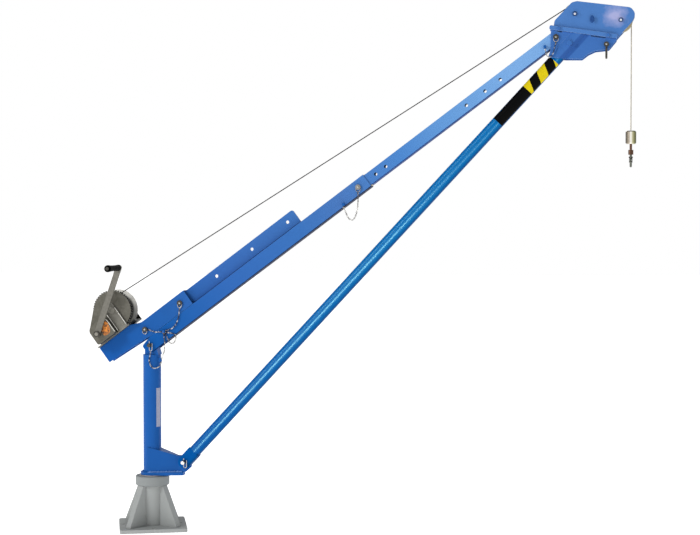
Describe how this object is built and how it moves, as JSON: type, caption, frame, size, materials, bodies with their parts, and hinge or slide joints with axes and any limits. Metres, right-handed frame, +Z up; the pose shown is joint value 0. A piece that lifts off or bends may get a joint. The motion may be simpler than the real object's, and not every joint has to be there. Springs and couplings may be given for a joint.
{
  "type": "davit crane",
  "caption": "Blue davit crane: a round mast turning in a grey floor pedestal, a telescoping boom held by a strut, a hand winch with a crank, and a swivel hook on a wire rope.",
  "frame": {"origin": "centre of the floor bolt circle, on the base plate's underside", "axes": "+Z up along the mast, +X towards the boom's tip, -Y towards the side of the winch's crank"},
  "size_m": [2.6695, 0.4879, 2.5575],
  "materials": {
    "pedestal_grey": "satin grey enamel",
    "mast_blue": "gloss blue enamel",
    "head_blue": "satin blue enamel",
    "steel": "turned, bright",
    "zinc": "zinc plated",
    "bronze": "oiled",
    "weight_steel": "turned, oiled",
    "wire_rope": "stranded",
    "chain": "bright plated",
    "nylon": "moulded",
    "grip_black": "moulded"
  },
  "bodies": {
    "base": {"base_plate": "pedestal_grey", "socket_tube": "pedestal_grey", "socket_collar": "pedestal_grey", "pedestal_ribs": "pedestal_grey", "slew_bushes": "bronze"},
    "mast": {"sole_plate": "mast_blue", "mast_tube": "mast_blue", "mast_tongue": "mast_blue", "foot_bracket": "mast_blue", "strut_fork": "mast_blue", "strut_tube": "mast_blue", "outer_boom": "mast_blue", "inner_boom": "mast_blue", "boom_fin": "mast_blue", "winch_bracket": "mast_blue", "chain_tabs": "mast_blue", "head_cheeks": "head_blue", "sheave_box": "head_blue", "mast_spigot": "steel", "pull_pins": "steel", "hinge_pins": "steel", "pin_clips": "steel", "head_bolts": "steel", "winch_bolts": "steel", "shackle_pin": "steel", "ratchet_wheel": "steel", "winch_frame": "zinc", "gear_guard": "zinc", "brake_cover": "zinc", "rope_run": "wire_rope", "rope_over_head": "wire_rope", "rope_fall": "wire_rope", "front_pin_chain": "chain", "rear_pin_chain": "chain", "anchor_chain": "chain", "pivot_chain": "chain", "lock_chain": "chain", "head_chain": "chain", "sheave_spacers": "nylon", "boom_spacers": "nylon"},
    "drum": {"rope_drum": "zinc", "drum_gear": "zinc", "drum_bushes": "bronze", "rope_core": "wire_rope", "rope_winding": "wire_rope"},
    "crank": {"pinion_shaft": "steel", "pinion": "steel", "crank_arm": "zinc", "grip_spindle": "steel"},
    "grip": {"crank_grip": "grip_black"},
    "rear_wheel": {"rear_sheave": "nylon"},
    "front_wheel": {"front_sheave": "nylon"},
    "hook_block": {"hook_weight": "weight_steel"},
    "swivel": {"hook_stem": "steel", "hook": "steel"},
    "latch": {"hook_latch": "steel"},
    "shackle": {"shackle_bow": "steel"},
    "lock": {"lock_pin": "steel"},
    "pawl_arm": {"pawl": "steel"}
  },
  "joints": [
    {"name": "slew", "type": "hinge", "parent": "base", "child": "mast", "pos_m": [0, 0, 0.262], "axis": [0, 0, 1], "continuous": true},
    {"name": "drum_turn", "type": "hinge", "parent": "mast", "child": "drum", "pos_m": [-0.18759, 0, 1.08409], "axis": [0, -1, 0], "range_deg": [-1733, 407]},
    {"name": "hook_lift", "type": "slide", "parent": "mast", "child": "hook_block", "axis": [0, 0, 1], "range_m": [-1.71, 0.41], "deforming": ["rope_fall"]},
    {"name": "crank_turn", "type": "hinge", "parent": "mast", "child": "crank", "pos_m": [-0.24842, 0, 0.9692], "axis": [0, -1, 0], "range_deg": [-1260, 5320]},
    {"name": "rear_sheave_turn", "type": "hinge", "parent": "mast", "child": "rear_wheel", "pos_m": [2.07938, 0, 2.49746], "axis": [0, -1, 0], "range_deg": [-2020, 480]},
    {"name": "front_sheave_turn", "type": "hinge", "parent": "mast", "child": "front_wheel", "pos_m": [2.29258, 0, 2.46407], "axis": [0, -1, 0], "range_deg": [-2020, 480]},
    {"name": "grip_spin", "type": "hinge", "parent": "crank", "child": "grip", "pos_m": [-0.13635, -0.18, 1.29654], "axis": [0, -1, 0], "continuous": true},
    {"name": "hook_swivel", "type": "hinge", "parent": "hook_block", "child": "swivel", "pos_m": [2.34108, 0, 1.87], "axis": [0, 0, 1], "continuous": true},
    {"name": "latch_open", "type": "hinge", "parent": "swivel", "child": "latch", "pos_m": [2.34108, 0.00092, 1.82508], "axis": [1, 0, 0], "range_deg": [0, 30], "stiffness_Nm_per_rad": 0.05, "springref_deg": -22.92},
    {"name": "shackle_swing", "type": "hinge", "parent": "mast", "child": "shackle", "pos_m": [2.22623, -0.0335, 2.35128], "axis": [0, 1, 0], "range_deg": [-75, 35]},
    {"name": "lock_pin_pull", "type": "slide", "parent": "mast", "child": "lock", "axis": [0, -1, 0], "range_m": [0, 0.095]},
    {"name": "pawl_lift", "type": "hinge", "parent": "mast", "child": "pawl_arm", "pos_m": [-0.23769, -0.068, 1.0129], "axis": [0, 1, 0], "range_deg": [0, 6], "stiffness_Nm_per_rad": 0.1, "springref_deg": -28.65}
  ],
  "couplings": [
    {"joint": "hook_lift", "follows": "drum_turn", "m_per_rad": 0.0562},
    {"joint": "crank_turn", "follows": "drum_turn", "ratio": -3.0625},
    {"joint": "rear_sheave_turn", "follows": "drum_turn", "ratio": 1.1588},
    {"joint": "front_sheave_turn", "follows": "drum_turn", "ratio": 1.1588}
  ]
}
